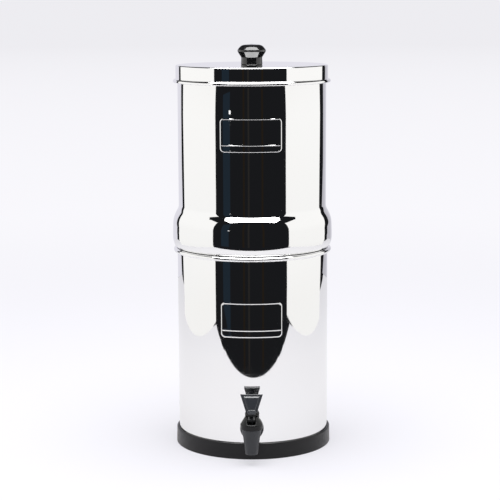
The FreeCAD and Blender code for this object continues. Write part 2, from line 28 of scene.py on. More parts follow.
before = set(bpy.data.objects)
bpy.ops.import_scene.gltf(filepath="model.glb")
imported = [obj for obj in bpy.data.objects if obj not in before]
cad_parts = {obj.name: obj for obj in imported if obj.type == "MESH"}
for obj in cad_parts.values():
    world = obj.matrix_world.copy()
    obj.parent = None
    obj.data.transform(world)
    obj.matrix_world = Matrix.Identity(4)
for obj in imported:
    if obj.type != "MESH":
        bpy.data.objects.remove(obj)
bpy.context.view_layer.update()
scene = bpy.context.scene


# Camera and room. The pots are mirrors, so the room is part of their look: a white table, a white card on
# each side that stands clear of it, a backdrop behind, a soft box overhead and a dark room in front. The camera and
# the room's sheets are turned together about the filter, so the tap points a little to one side of the camera.

CAMERA_PLACE = (0.0327, -1.9707, 0.543)
FOCAL_LENGTH, LOOK_DOWN, ROLL = 118.08, 8.85, 0.25
ROOM_TURN = math.radians(1.0)
camera_data = bpy.data.cameras.new("camera")
camera_data.sensor_width = 36.0
camera_data.lens = FOCAL_LENGTH
camera_data.clip_start = 0.05
camera_data.clip_end = 100.0
camera = bpy.data.objects.new("camera", camera_data)
scene.collection.objects.link(camera)
camera.location = CAMERA_PLACE
camera.rotation_euler = (math.radians(90 - LOOK_DOWN), math.radians(ROLL), ROOM_TURN)
scene.camera = camera
scene.view_settings.view_transform = "Standard"
scene.cycles.caustics_reflective = False
scene.cycles.caustics_refractive = False


def add(tree, kind, inputs=None, **settings):
    """A node of the given kind, with its settings and inputs. An input is a value, or the socket that feeds it."""
    node = tree.nodes.new(kind)
    for key, value in settings.items():
        setattr(node, key, value)
    for key, value in (inputs or {}).items():
        if isinstance(value, bpy.types.NodeSocket):
            tree.links.new(value, node.inputs[key])
        else:
            node.inputs[key].default_value = value
    return node


PAPER = (0.905, 0.898, 0.935, 1)


def lit_world():
    """White for the eye and for diffuse light, and almost black for what the steel reflects."""
    world = bpy.data.worlds.new("studio")
    world.use_nodes = True
    tree = world.node_tree
    tree.nodes.clear()
    rays = add(tree, "ShaderNodeLightPath")
    paper = add(tree, "ShaderNodeBackground", {"Color": PAPER, "Strength": 0.94})
    fill = add(tree, "ShaderNodeBackground", {"Color": (0.97, 0.98, 1.0, 1), "Strength": 0.86})
    room = add(tree, "ShaderNodeBackground", {"Color": (0.010, 0.0105, 0.012, 1), "Strength": 1.0})
    soft = add(tree, "ShaderNodeMixShader", {0: rays.outputs["Is Camera Ray"], 1: fill.outputs[0],
                                             2: paper.outputs[0]})
    both = add(tree, "ShaderNodeMixShader", {0: rays.outputs["Is Glossy Ray"], 1: soft.outputs[0],
                                             2: room.outputs[0]})
    add(tree, "ShaderNodeOutputWorld", {"Surface": both.outputs[0]})
    scene.world = world


def sheet(name, corners, material, rays):
    """A flat sheet of the room with the given corners in turn, turned with the camera. Only the named kinds of rays
    see it."""
    mesh = bpy.data.meshes.new(name)
    mesh.from_pydata(corners, [], [tuple(range(len(corners)))])
    panel = bpy.data.objects.new(name, mesh)
    panel.rotation_euler.z = ROOM_TURN
    scene.collection.objects.link(panel)
    mesh.materials.append(material)
    for kind in ("camera", "diffuse", "glossy", "transmission", "shadow"):
        setattr(panel, "visible_" + kind, kind in rays)
    return panel


def drifting(tree, axis, start, end, low, high):
    """A value that goes smoothly from low to high along one axis, from the place start to the place end."""
    place = add(tree, "ShaderNodeSeparateXYZ", {0: add(tree, "ShaderNodeTexCoord").outputs["Object"]})
    return add(tree, "ShaderNodeMapRange", {"Value": place.outputs[axis], "From Min": start, "From Max": end,
                                            "To Min": low, "To Max": high},
               interpolation_type="SMOOTHSTEP").outputs["Result"]


def glow(name, colour, strength):
    """Emission. A strength of five values drifts: axis, start, end, low, high."""
    material = bpy.data.materials.new(name)
    material.use_nodes = True
    tree = material.node_tree
    tree.nodes.clear()
    if isinstance(strength, tuple):
        strength = drifting(tree, *strength)
    light = add(tree, "ShaderNodeEmission", {"Color": (*colour, 1), "Strength": strength})
    add(tree, "ShaderNodeOutputMaterial", {"Surface": light.outputs[0]})
    return material


def paper_floor():
    """White paper near the filter, turning with distance from it into the colour of the world behind."""
    material = bpy.data.materials.new("paper_floor")
    material.use_nodes = True
    tree = material.node_tree
    tree.nodes.clear()
    place = add(tree, "ShaderNodeTexCoord")
    reach = add(tree, "ShaderNodeVectorMath", {0: place.outputs["Object"]}, operation="LENGTH")
    fade = add(tree, "ShaderNodeMapRange", {"Value": reach.outputs["Value"], "From Min": 0.25, "From Max": 2.2},
               interpolation_type="SMOOTHSTEP")
    shaded = add(tree, "ShaderNodeBsdfDiffuse", {"Color": (0.860, 0.848, 0.892, 1)})
    even = add(tree, "ShaderNodeEmission", {"Color": (0.945, 0.937, 0.985, 1), "Strength": 1.0})
    white = add(tree, "ShaderNodeMixShader", {0: 0.5, 1: shaded.outputs[0], 2: even.outputs[0]})
    far = add(tree, "ShaderNodeMapRange", {"Value": reach.outputs["Value"], "From Min": 1.5, "From Max": 16.0,
                                           "To Min": 1.05, "To Max": 0.94})
    haze = add(tree, "ShaderNodeEmission", {"Color": PAPER, "Strength": far.outputs["Result"]})
    mix = add(tree, "ShaderNodeMixShader", {0: fade.outputs["Result"], 1: white.outputs[0], 2: haze.outputs[0]})
    add(tree, "ShaderNodeOutputMaterial", {"Surface": mix.outputs[0]})
    return material


def table_white():
    """A diffuse white, a little greyer far from the filter. The greying is painted shade for the light's falloff over
    the table.
    """
    material = bpy.data.materials.new("table_white")
    material.use_nodes = True
    tree = material.node_tree
    tree.nodes.clear()
    place = add(tree, "ShaderNodeTexCoord")
    reach = add(tree, "ShaderNodeVectorMath", {0: place.outputs["Object"]}, operation="LENGTH")
    # The ramp greys the table far from the filter: painted shade.
    shade = add(tree, "ShaderNodeValToRGB", {0: reach.outputs["Value"]})
    stops = shade.color_ramp.elements
    stops[0].position, stops[0].color = 0.22, (0.78, 0.775, 0.765, 1)
    stops[1].position, stops[1].color = 0.60, (0.78, 0.777, 0.77, 1)
    far = stops.new(1.0)
    far.color = (0.74, 0.738, 0.74, 1)
    white = add(tree, "ShaderNodeBsdfDiffuse", {"Color": shade.outputs[0]})
    add(tree, "ShaderNodeOutputMaterial", {"Surface": white.outputs[0]})
    return material


lit_world()
MIRROR = ("glossy",)
FLOOR_REACH = 30
TABLE_TOP, TABLE_FRONT, TABLE_HALF = -0.0004, -0.505, 0.72
BACK = 1.2
CARD_FOOT, CARD_HEAD = 0.010, 0.80
SHELF, BACKDROP_HEAD = 0.19, 0.8
SOFT_BOX_HALF, SOFT_BOX_FRONT, SOFT_BOX_REAR, SOFT_BOX_HEIGHT = 1.05, -1.40, 0.0, 1.6
FRONT_WALL, STRIP_FOOT, STRIP_HEAD = -3.0, -0.6, 2.6
sheet("floor", [(-FLOOR_REACH, -FLOOR_REACH, 0), (FLOOR_REACH, -FLOOR_REACH, 0), (FLOOR_REACH, FLOOR_REACH, 0),
                (-FLOOR_REACH, FLOOR_REACH, 0)], paper_floor(), ("camera", "diffuse"))
sheet("table", [(-TABLE_HALF, TABLE_FRONT, TABLE_TOP), (TABLE_HALF, TABLE_FRONT, TABLE_TOP), (1.146, BACK, TABLE_TOP),
                (-1.18, BACK, TABLE_TOP)], table_white(), MIRROR)
for x, front, foot_rear, head_rear in ((-0.697, -0.485, 0.475, 0.68), (0.697, -0.57, 0.39, 0.63)):
    sheet("side_card", [(x, front, CARD_FOOT), (x, foot_rear, CARD_FOOT), (x, head_rear, CARD_HEAD),
                        (x, front, CARD_HEAD)],
          glow("card_white", (1.0, 0.995, 0.98), (2, 0.0, 0.45, 1.0, 1.06)), MIRROR)
sheet("backdrop", [(-1.17, BACK, 0.0), (1.28, BACK, 0.0), (0.95, BACK, SHELF), (0.95, BACK, BACKDROP_HEAD),
                   (-1.03, BACK, BACKDROP_HEAD), (-1.03, BACK, SHELF)],
      glow("backdrop_paper", (0.80, 0.79, 0.86), (0, 0.9, 0.1, 0.66, 0.98)), MIRROR)
sheet("soft_box", [(side * SOFT_BOX_HALF, y, SOFT_BOX_HEIGHT) for side, y in
                   ((-1, SOFT_BOX_FRONT), (1, SOFT_BOX_FRONT), (1, SOFT_BOX_REAR), (-1, SOFT_BOX_REAR))],
      glow("soft_box_white", (1.0, 1.0, 1.0), 8.0), MIRROR)
for name, start, end, colour, strength in (
        ("window_strip", -3.0, -2.0, (0.16, 0.26, 0.38), 0.085),
        ("brown_strip", -0.75, -0.60, (0.30, 0.22, 0.15), 0.055),
        ("grey_strip", -0.35, -0.22, (0.24, 0.22, 0.20), 0.09),
        ("brown_strip", 0.75, 0.90, (0.30, 0.22, 0.15), 0.055)):
    sheet(name, [(start, FRONT_WALL, STRIP_FOOT), (end, FRONT_WALL, STRIP_FOOT), (end, FRONT_WALL, STRIP_HEAD),
                 (start, FRONT_WALL, STRIP_HEAD)], glow(name, colour, strength), MIRROR)
sheet("lamp_glint", [(-0.562, -0.835, 0.330), (-0.524, -0.860, 0.330), (-0.524, -0.860, 0.362),
                     (-0.562, -0.835, 0.362)], glow("lamp_glint", (1, 1, 1), 1.4), MIRROR)
lamp_data = bpy.data.lights.new("overhead", "AREA")
lamp_data.shape = "RECTANGLE"
lamp_data.size = 1.0
lamp_data.size_y = 1.0
lamp_data.energy = 14.0
lamp = bpy.data.objects.new("overhead", lamp_data)
lamp.location = (0.0, -0.2, 1.55)
lamp.visible_glossy = False
scene.collection.objects.link(lamp)


# Base ring: an L-section ring of black rubber. The lower pot drops into it, down to its ledge.

def bent(corners, closed=True):
    """Profile points from (across, up, bend) corners. Each corner becomes an arc of its bend, which leaves each
    run at bend times the tangent of half the turn, a point to every 5 degrees. A run over 2 mm long gets a point
    0.35 mm in from each end, so that the shading stays flat along it."""
    spots = np.array([corner[:2] for corner in corners], float)
    count = len(spots)
    groups = []
    for i, corner in enumerate(corners):
        here = spots[i]
        if not closed and i in (0, count - 1):
            groups.append(here[None, :])
            continue
        back, on = spots[i - 1] - here, spots[(i + 1) % count] - here
        back, on = back / np.linalg.norm(back), on / np.linalg.norm(on)
        turn = math.pi - math.acos(np.clip(back @ on, -1, 1))
        bend = corner[2] if len(corner) > 2 else 0.12
        reach = bend * math.tan(turn / 2)
        start, end = here + back * reach, here + on * reach
        middle = here + (back + on) / np.linalg.norm(back + on) * bend / math.cos(turn / 2)
        share = np.linspace(0, 1, max(3, math.ceil(math.degrees(turn) / 5) + 1))[:, None]
        groups.append(middle + (np.sin((1 - share) * turn) * (start - middle)
                                + np.sin(share * turn) * (end - middle)) / math.sin(turn))
    path = []
    for i, group in enumerate(groups):
        path.append(group)
        if closed or i < count - 1:
            start, end = group[-1], groups[(i + 1) % count][0]
            length = np.linalg.norm(end - start)
            if length > 2:
                step = (end - start) / length * 0.35
                path.append(np.array([start + step, end - step]))
    path = np.concatenate(path)
    far = np.linalg.norm(np.diff(path, axis=0), axis=1) > 1e-4
    return path[np.concatenate([[True], far])]


def solid(name, points, faces):
    """A smooth-shaded piece from an array of points in millimetres and a list of face arrays. Its signed volume,
    the sum of each corner triangle's box product, tells whether the faces need turning outwards."""
    points = np.asarray(points, float) / 1000
    volume = sum(np.einsum("ij,ij->", points[f[:, 0]], np.cross(points[f[:, k]], points[f[:, k + 1]]))
                 for f in faces for k in range(1, f.shape[1] - 1))
    if volume < 0:
        faces = [f[:, ::-1] for f in faces]
    mesh = bpy.data.meshes.new(name)
    mesh.from_pydata(points.tolist(), [], [face for f in faces for face in f.tolist()])
    mesh.shade_smooth()
    piece = bpy.data.objects.new(name, mesh)
    scene.collection.objects.link(piece)
    return piece


def turned(name, profile, closed=True, angles=None, relief=None):
    """A profile of (radius, height) points turned about the upright axis. The grid's two parameters are the place
    along the profile and the angle. A profile that isn't closed starts and ends on the axis, in two poles. relief
    takes the grids of angle, radius and height, and gives how far the skin moves outwards."""
    angles = np.linspace(0, 2 * math.pi, 257)[:-1] if angles is None else angles
    ring = profile if closed else profile[1:-1]
    angle, radius = np.meshgrid(angles, ring[:, 0])
    height = np.broadcast_to(ring[:, 1:2], radius.shape)
    if relief is not None:
        radius = radius + relief(angle, radius, height)
    points = np.stack([radius * np.sin(angle), -radius * np.cos(angle), height], axis=-1).reshape(-1, 3)
    rows, columns = radius.shape
    grid = np.arange(rows * columns).reshape(rows, columns)
    if closed:
        grid = np.concatenate([grid, grid[:1]])
    grid = np.concatenate([grid, grid[:, :1]], axis=1)
    faces = [np.stack([grid[:-1, :-1], grid[:-1, 1:], grid[1:, 1:], grid[1:, :-1]], axis=-1).reshape(-1, 4)]
    if not closed:
        poles = np.array([(0, 0, profile[0, 1]), (0, 0, profile[-1, 1])])
        first, last = len(points), len(points) + 1
        points = np.concatenate([points, poles])
        faces.append(np.stack([grid[0, 1:], grid[0, :-1], np.full(columns, first)], axis=-1))
        faces.append(np.stack([grid[-1, :-1], grid[-1, 1:], np.full(columns, last)], axis=-1))
    return solid(name, points, faces)


def finish_of(name):
    """A new material with its node tree and its shader."""
    material = bpy.data.materials.new(name)
    material.use_nodes = True
    tree = material.node_tree
    tree.nodes.clear()
    shader = add(tree, "ShaderNodeBsdfPrincipled")
    add(tree, "ShaderNodeOutputMaterial", {"Surface": shader.outputs[0]})
    return material, tree, shader


def moulded(name, dark, light, rough, grain, depth, gloss=0.5):
    """Moulded black: the colour drifts between two blacks in soft clouds, a fine grain lies over it as a bump,
    and the sheen varies with wear between the two values of rough."""
    material, tree, shader = finish_of(name)
    place = add(tree, "ShaderNodeTexCoord").outputs["Object"]
    clouds = add(tree, "ShaderNodeTexNoise", {"Vector": place, "Scale": 45.0, "Detail": 5.0, "Roughness": 0.6})
    tone = add(tree, "ShaderNodeMix", {0: clouds.outputs["Fac"], 6: (*dark, 1), 7: (*light, 1)}, data_type="RGBA")
    wear = add(tree, "ShaderNodeTexNoise", {"Vector": place, "Scale": 210.0, "Detail": 3.0})
    sheen = add(tree, "ShaderNodeMapRange", {"Value": wear.outputs["Fac"], "From Min": 0.3, "From Max": 0.7,
                                             "To Min": rough[0], "To Max": rough[1]})
    fine = add(tree, "ShaderNodeTexNoise", {"Vector": place, "Scale": grain, "Detail": 2.0})
    bump = add(tree, "ShaderNodeBump", {"Height": fine.outputs["Fac"], "Strength": 0.5, "Distance": depth})
    tree.links.new(tone.outputs[2], shader.inputs["Base Color"])
    tree.links.new(sheen.outputs["Result"], shader.inputs["Roughness"])
    tree.links.new(bump.outputs["Normal"], shader.inputs["Normal"])
    shader.inputs["Specular IOR Level"].default_value = gloss
    return material


def dressed(piece, body, slot, material, *nodes):
    """Gives a piece its material and its body, and hides the CAD nodes that it stands for. The slot is not used."""
    piece.data.materials.append(material)
    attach(piece, body)
    if nodes:
        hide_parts(*nodes)
    return piece


RING_BORE, RING_OUTSIDE, RING_TOP = 84, 94.1, 19.5
POT_SEAT, LEDGE = 91.0, 6
ring_rubber = moulded("ring_rubber", (0.004, 0.0035, 0.0045), (0.008, 0.0075, 0.009), (0.30, 0.42), 1400.0, 0.00006,
                      gloss=0.3)
base_ring = turned("rubber_ring", bent([(RING_BORE, 0), (RING_OUTSIDE, 0, 0.8), (RING_OUTSIDE - 0.4, RING_TOP, 1.6),
                                        (POT_SEAT, RING_TOP, 0.4), (POT_SEAT, LEDGE + 0.2, 0.3), (RING_BORE, LEDGE)]))
dressed(base_ring, "lower", "ring_rubber", ring_rubber, "base_ring")


# Lower pot: drawn from 0.8 mm sheet, mirror-polished, its rim rolled outwards into a bead. A frame for a name
# is embossed on its front, here left blank, and a hole low in the front takes the tap's shank.

def arc(centre, radius, start, end, stretch=1.0):
    """Points of a circle's arc from one angle to another in degrees, 6 degrees or less apart. Stretched, its
    heights are multiplied, which makes it an ellipse's."""
    turn = np.radians(np.linspace(start, end, max(3, math.ceil(abs(end - start) / 6) + 1)))
    return np.array(centre, float) + radius * np.stack([np.cos(turn), stretch * np.sin(turn)], axis=-1)


def sheet_inside(points, thickness):
    """The same path moved square to itself towards the axis: each point goes by the thickness along the normal
    of the chord between its two neighbours."""
    chord = np.gradient(points, axis=0)
    normal = np.stack([-chord[:, 1], chord[:, 0]], axis=-1)
    return points + normal / np.linalg.norm(normal, axis=1)[:, None] * thickness


def name_frame(low, high, half_width, radius, rule):
    """The relief of a blank frame, as a ridge 0.35 mm high: the height falls off as a bell of the distance to a
    rounded rectangle's outline, or to a rule across its foot, measured along the wall."""
    corner, middle, half_height = 4.0, (low + high) / 2, (high - low) / 2
    half_arc = radius * math.asin(half_width / radius)

    def relief(angle, _, height):
        around = np.abs((angle + math.pi) % (2 * math.pi) - math.pi) * radius
        across = around - (half_arc - corner)
        up = np.abs(height - middle) - (half_height - corner)
        outline = np.hypot(np.maximum(across, 0), np.maximum(up, 0)) + np.minimum(np.maximum(across, up), 0) - corner
        foot = np.where(around < half_arc, height - rule, 9.0)
        return 0.35 * np.maximum(np.exp(-(outline / 0.55) ** 2), np.exp(-(foot / 0.5) ** 2))

    return relief


def frame_angles(radius, half_width):
    """Angles round the wall, 3 mm apart, with 0.3 mm steps where the frame's sides and corners are."""
    side = math.asin(half_width / radius)
    fine = np.arange(-6.0, 1.6, 0.3) / radius
    inner = np.linspace(-(side + fine[0]), side + fine[0], 26)[1:-1]
    outer = np.linspace(side + fine[-1], 2 * math.pi - side - fine[-1], 190)[1:-1]
    return np.concatenate([-(side + fine[::-1]), inner, side + fine, outer])


def frame_heights(low, high, rule):
    """Heights for the frame's rows: 0.3 mm steps at its foot, its rule and its head, 3 mm between."""
    return np.concatenate([np.arange(low - 1.5, low + 6, 0.3), np.arange(low + 6, rule - 1.5, 1.2),
                           np.arange(rule - 1.5, rule + 1.5, 0.3), np.arange(rule + 2, high - 6, 3.0),
                           np.arange(high - 6, high + 1.5, 0.3)])


def with_rows(path, heights):
    """Adds points at the given heights to the path's steepest long run, the wall."""
    gap = np.abs(np.diff(path[:, 1]))
    i = int(np.argmax(gap))
    low, high = path[i], path[i + 1]
    rows = np.array([h for h in np.unique(np.round(heights, 3)) if min(low[1], high[1]) + 0.2 < h
                     < max(low[1], high[1]) - 0.2])
    if high[1] < low[1]:
        rows = rows[::-1]
    share = ((rows - low[1]) / (high[1] - low[1]))[:, None]
    return np.concatenate([path[:i + 1], low + share * (high - low), path[i + 1:]])


def carved(piece, *cutters):
    """Cuts the other solids out of the piece, and keeps its new edges sharp."""
    for cutter in cutters:
        cut = piece.modifiers.new("cut", "BOOLEAN")
        cut.operation = "DIFFERENCE"
        cut.solver = "EXACT"
        cut.object = cutter
        applied(piece)
        bpy.data.objects.remove(cutter)
    piece.data.set_sharp_from_angle(angle=math.radians(40))
    return piece


def applied(piece):
    """Turns the piece's modifiers into its mesh."""
    bpy.context.view_layer.update()
    shape = piece.evaluated_get(bpy.context.evaluated_depsgraph_get())
    mesh = bpy.data.meshes.new_from_object(shape)
    piece.modifiers.clear()
    piece.data = mesh
    return piece


def moved(piece, x=0.0, y=0.0, z=0.0, tip=0.0):
    """Tips a mesh about the X axis by so many degrees, then moves it by millimetres."""
    place = Matrix.Translation((x / 1000, y / 1000, z / 1000))
    piece.data.transform(place @ Matrix.Rotation(math.radians(tip), 4, "X"))
    return piece


def rod(radius, low, high):
    """A plain rod about the upright axis, for cutting holes."""
    return turned("rod", np.array([(0, low), (radius, low), (radius, high), (0, high)], float), closed=False,
                  angles=np.linspace(0, 2 * math.pi, 97)[:-1])


def mirror_steel():
    """Polished steel: a near-white mirror with a faint warm and cool drift, finer scuffs in its gloss, and a very
    shallow unevenness left by the drawing and polishing, longer round the pot than up it."""
    material, tree, shader = finish_of("mirror_steel")
    place = add(tree, "ShaderNodeTexCoord").outputs["Object"]
    drift = add(tree, "ShaderNodeTexNoise", {"Vector": place, "Scale": 7.0, "Detail": 3.0})
    tone = add(tree, "ShaderNodeMix", {0: drift.outputs["Fac"], 6: (0.895, 0.885, 0.875, 1),
                                       7: (0.885, 0.893, 0.905, 1)}, data_type="RGBA")
    brushed = add(tree, "ShaderNodeMapping", {"Vector": place, "Scale": (60.0, 60.0, 900.0)})
    scuffs = add(tree, "ShaderNodeTexNoise", {"Vector": brushed.outputs[0], "Scale": 1.0, "Detail": 4.0,
                                              "Roughness": 0.65})
    gloss = add(tree, "ShaderNodeMapRange", {"Value": scuffs.outputs["Fac"], "From Min": 0.35, "From Max": 0.8,
                                             "To Min": 0.018, "To Max": 0.045})
    drawn = add(tree, "ShaderNodeMapping", {"Vector": place, "Scale": (9.0, 9.0, 14.0)})
    waves = add(tree, "ShaderNodeTexNoise", {"Vector": drawn.outputs[0], "Scale": 1.0, "Detail": 1.0})
    bump = add(tree, "ShaderNodeBump", {"Height": waves.outputs["Fac"], "Strength": 0.35, "Distance": 0.0006})
    tree.links.new(tone.outputs[2], shader.inputs["Base Color"])
    tree.links.new(gloss.outputs["Result"], shader.inputs["Roughness"])
    tree.links.new(bump.outputs["Normal"], shader.inputs["Normal"])
    shader.inputs["Metallic"].default_value = 1.0
    return material


steel = mirror_steel()
STEEL_THICK, FRAME_HALF = 0.8, 34.7
LOWER_RADIUS, LOWER_FLOOR, LOWER_WALL_TOP = 90.8, 6, 236.2
LOWER_FRAME = (147.0, 186.5, 154.5)
TAP_HEIGHT, SHANK_HOLE = 38.5, 8.4
wall = bent([(0, LOWER_FLOOR), (LOWER_RADIUS, LOWER_FLOOR, 4), (LOWER_RADIUS, LOWER_WALL_TOP)], closed=False)
wall = with_rows(wall, np.concatenate([frame_heights(*LOWER_FRAME), [22.5, 28.5, 48.5, 54.5, 100]]))
lining = sheet_inside(wall, STEEL_THICK)
bead = arc((92.45, 238.9), 2.75, 226, 537)
lining[0] = (0, LOWER_FLOOR + STEEL_THICK)
lower_pot = turned("lower_pot", np.concatenate([wall[:-1], bead, [(90.0, 237.0)], lining[-2::-1]]), closed=False,
                   angles=frame_angles(LOWER_RADIUS, FRAME_HALF),
                   relief=name_frame(*LOWER_FRAME[:2], FRAME_HALF, LOWER_RADIUS, LOWER_FRAME[2]))
carved(lower_pot, moved(rod(SHANK_HOLE, 80, 100), z=TAP_HEIGHT, tip=90))
dressed(lower_pot, "lower", "polished_steel", steel, "lower_chamber")


# Upper pot: the same sheet. Its foot nests in the lower pot, a bulge rests on that pot's bead, and a shoulder
# leads back to the wall, which ends in a smaller bead. Two holes in its floor take the elements' stems.

UPPER_RADIUS, FOOT_RADIUS, UPPER_FLOOR, SEAT = 89.0, 88.6, 223, 241.7
UPPER_FRAME = (364.0, 401.5, 371.2)
STEM_HOLE, STEM_APART = 5.2, 45
foot = bent([(0, UPPER_FLOOR), (FOOT_RADIUS, UPPER_FLOOR, 4), (FOOT_RADIUS, SEAT)], closed=False)
bulge = arc((90.25, 255.7), 6.0, -90, -3, stretch=14 / 6)
shoulder = bent([bulge[-1], (96.2, 261, 60), (95.65, 277.6, 30), (88.95, 289.8, 12), (89.05, 439.2)], closed=False)
wall = np.concatenate([foot, bulge, shoulder[1:]])
wall = with_rows(wall, frame_heights(*UPPER_FRAME))
lining = sheet_inside(wall, STEEL_THICK)
bead = arc((90.6, 441.2), 1.7, 225, 537)
lining[0] = (0, UPPER_FLOOR + STEEL_THICK)
upper_pot = turned("upper_pot", np.concatenate([wall[:-1], bead, [(88.9, 439.8)], lining[-2::-1]]), closed=False,
                   angles=frame_angles(UPPER_RADIUS, FRAME_HALF),
                   relief=name_frame(*UPPER_FRAME[:2], FRAME_HALF, UPPER_RADIUS, UPPER_FRAME[2]))
carved(upper_pot, *(moved(rod(STEM_HOLE, UPPER_FLOOR - 3, UPPER_FLOOR + 4), x=x) for x in (-STEM_APART, STEM_APART)))
dressed(upper_pot, "upper", "polished_steel", steel, "upper_chamber")


# Lid: a pressed cap of the same steel. Its skirt steps out over the upper pot's bead and ends in a folded hem.

LID_TOP, LID_RADIUS, LID_HOLE = 460.5, 91.2, 2.7
STEP, SKIRT_RADIUS, SKIRT_FOOT, SKIRT_INSIDE = 443.9, 94.35, 440.0, 92.9
lid = turned("lid_cap", bent([(LID_HOLE, LID_TOP, 0.1), (LID_RADIUS, LID_TOP, 1.6), (LID_RADIUS, STEP, 0.3),
                              (SKIRT_RADIUS, STEP, 2.4), (SKIRT_RADIUS, SKIRT_FOOT, 0.9),
                              (SKIRT_INSIDE, SKIRT_FOOT, 0.7), (SKIRT_INSIDE, 443.0, 0.5),
                              (LID_RADIUS - STEEL_THICK, 443.0, 1.0),
                              (LID_RADIUS - STEEL_THICK, LID_TOP - STEEL_THICK, 1.6),
                              (LID_HOLE, LID_TOP - STEEL_THICK, 0.1)]))
dressed(lid, "lid", "polished_steel", steel, "lid_pan")


# Knob: turned from black phenolic and lacquered, with a waisted neck and a flat dome on a flared head.

def lacquered():
    """Deep gloss black with a clear coat, and a faint orange peel in the coat."""
    material, tree, shader = finish_of("knob_black")
    place = add(tree, "ShaderNodeTexCoord").outputs["Object"]
    clouds = add(tree, "ShaderNodeTexNoise", {"Vector": place, "Scale": 60.0, "Detail": 4.0})
    tone = add(tree, "ShaderNodeMix", {0: clouds.outputs["Fac"], 6: (0.008, 0.008, 0.009, 1),
                                       7: (0.014, 0.0135, 0.014, 1)}, data_type="RGBA")
    sheen = add(tree, "ShaderNodeMapRange", {"Value": clouds.outputs["Fac"], "To Min": 0.09, "To Max": 0.15})
    peel = add(tree, "ShaderNodeTexNoise", {"Vector": place, "Scale": 320.0, "Detail": 1.0})
    bump = add(tree, "ShaderNodeBump", {"Height": peel.outputs["Fac"], "Strength": 0.12, "Distance": 0.0001})
    tree.links.new(tone.outputs[2], shader.inputs["Base Color"])
    tree.links.new(sheen.outputs["Result"], shader.inputs["Roughness"])
    tree.links.new(bump.outputs["Normal"], shader.inputs["Normal"])
    shader.inputs["Coat Weight"].default_value = 0.5
    shader.inputs["Coat Roughness"].default_value = 0.05
    return material


KNOB_TOP, RIDGE_RADIUS, WAIST_RADIUS, SCREW_BORE, BORE_TOP = 485.0, 17.9, 12.6, 2.5, 474.5
knob = turned("knob", bent([(0, KNOB_TOP), (12.53, 483.78, 9), (RIDGE_RADIUS, 477.16, 3.2), (WAIST_RADIUS, 469.1, 3),
                            (13, LID_TOP, 0.8), (SCREW_BORE, LID_TOP, 0.1), (SCREW_BORE, BORE_TOP, 0.1),
                            (0, BORE_TOP)], closed=False),
              closed=False, angles=np.linspace(0, 2 * math.pi, 161)[:-1])
dressed(knob, "lid", "knob_plastic", lacquered(), "lid_knob")


# Knob screw and washer: plain stainless steel, under the lid. They stay as the CAD has them.

def fastener_steel():
    """Turned steel: fine rings of tool marks as a bump, and a grey that varies a little."""
    material, tree, shader = finish_of("fastener_steel")
    place = add(tree, "ShaderNodeTexCoord").outputs["Object"]
    stain = add(tree, "ShaderNodeTexNoise", {"Vector": place, "Scale": 150.0, "Detail": 4.0})
    tone = add(tree, "ShaderNodeMix", {0: stain.outputs["Fac"], 6: (0.50, 0.50, 0.51, 1), 7: (0.66, 0.65, 0.64, 1)},
               data_type="RGBA")
    marks = add(tree, "ShaderNodeTexNoise", {"Vector": place, "Scale": 2500.0, "Detail": 2.0})
    rough = add(tree, "ShaderNodeMapRange", {"Value": marks.outputs["Fac"], "To Min": 0.18, "To Max": 0.38})
    bump = add(tree, "ShaderNodeBump", {"Height": marks.outputs["Fac"], "Strength": 0.25, "Distance": 0.00003})
    tree.links.new(tone.outputs[2], shader.inputs["Base Color"])
    tree.links.new(rough.outputs["Result"], shader.inputs["Roughness"])
    tree.links.new(bump.outputs["Normal"], shader.inputs["Normal"])
    shader.inputs["Metallic"].default_value = 1.0
    return material


def kept(material, *nodes):
    """CAD nodes that stay as they are, in a better material."""
    for node in nodes:
        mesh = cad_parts[node].data
        mesh.materials.clear()
        mesh.materials.append(material)


screw_steel = fastener_steel()
kept(screw_steel, "knob_screw", "knob_washer")


# Filter elements: two blocks of pressed carbon, each with a moulded base, a threaded stem, a seal over the pot's
# floor hole and a wing nut under it.

def carbon_block():
    """Pressed carbon: matt black grains of two sizes, with pits between them."""
    material, tree, shader = finish_of("carbon_block")
    place = add(tree, "ShaderNodeTexCoord").outputs["Object"]
    grains = add(tree, "ShaderNodeTexVoronoi", {"Vector": place, "Scale": 900.0})
    pits = add(tree, "ShaderNodeTexNoise", {"Vector": place, "Scale": 350.0, "Detail": 6.0, "Roughness": 0.7})
    tone = add(tree, "ShaderNodeMix", {0: grains.outputs["Color"], 6: (0.016, 0.016, 0.017, 1),
                                       7: (0.060, 0.060, 0.062, 1)}, data_type="RGBA")
    height = add(tree, "ShaderNodeMath", {0: grains.outputs["Distance"], 1: pits.outputs["Fac"]}, operation="ADD")
    bump = add(tree, "ShaderNodeBump", {"Height": height.outputs[0], "Strength": 0.7, "Distance": 0.0004})
    tree.links.new(tone.outputs[2], shader.inputs["Base Color"])
    tree.links.new(bump.outputs["Normal"], shader.inputs["Normal"])
    shader.inputs["Roughness"].default_value = 0.88
    return material


element_plastic = moulded("element_plastic", (0.030, 0.030, 0.032), (0.050, 0.050, 0.053), (0.35, 0.5), 900.0,
                          0.00010)
seal_rubber = moulded("seal_rubber", (0.022, 0.022, 0.022), (0.036, 0.035, 0.035), (0.55, 0.72), 1800.0, 0.00008)
kept(carbon_block(), "carbon_element_left", "carbon_element_right")
kept(element_plastic, "element_base_left", "element_base_right", "element_wing_nuts")
kept(seal_rubber, "element_seals")


# Tap body: one moulding of black plastic. The spout and barrel are upright, and a neck, a flange and a hollow
# shank run back through the wall.

TAP_REACH = 116.0
SPOUT_FOOT, BARREL_RADIUS, BARREL_TOP = 13.4, 10.8, 48.6
SKIRT_LOW, SPOUT_BORE, INLET_BORE = 43.6, 5.2, 4.5
FLANGE_FRONT, FLANGE_BACK, FLANGE_RADIUS, SHANK_RADIUS, SHANK_END = 19.4, 22.8, 13.9, 8.0, 44.0


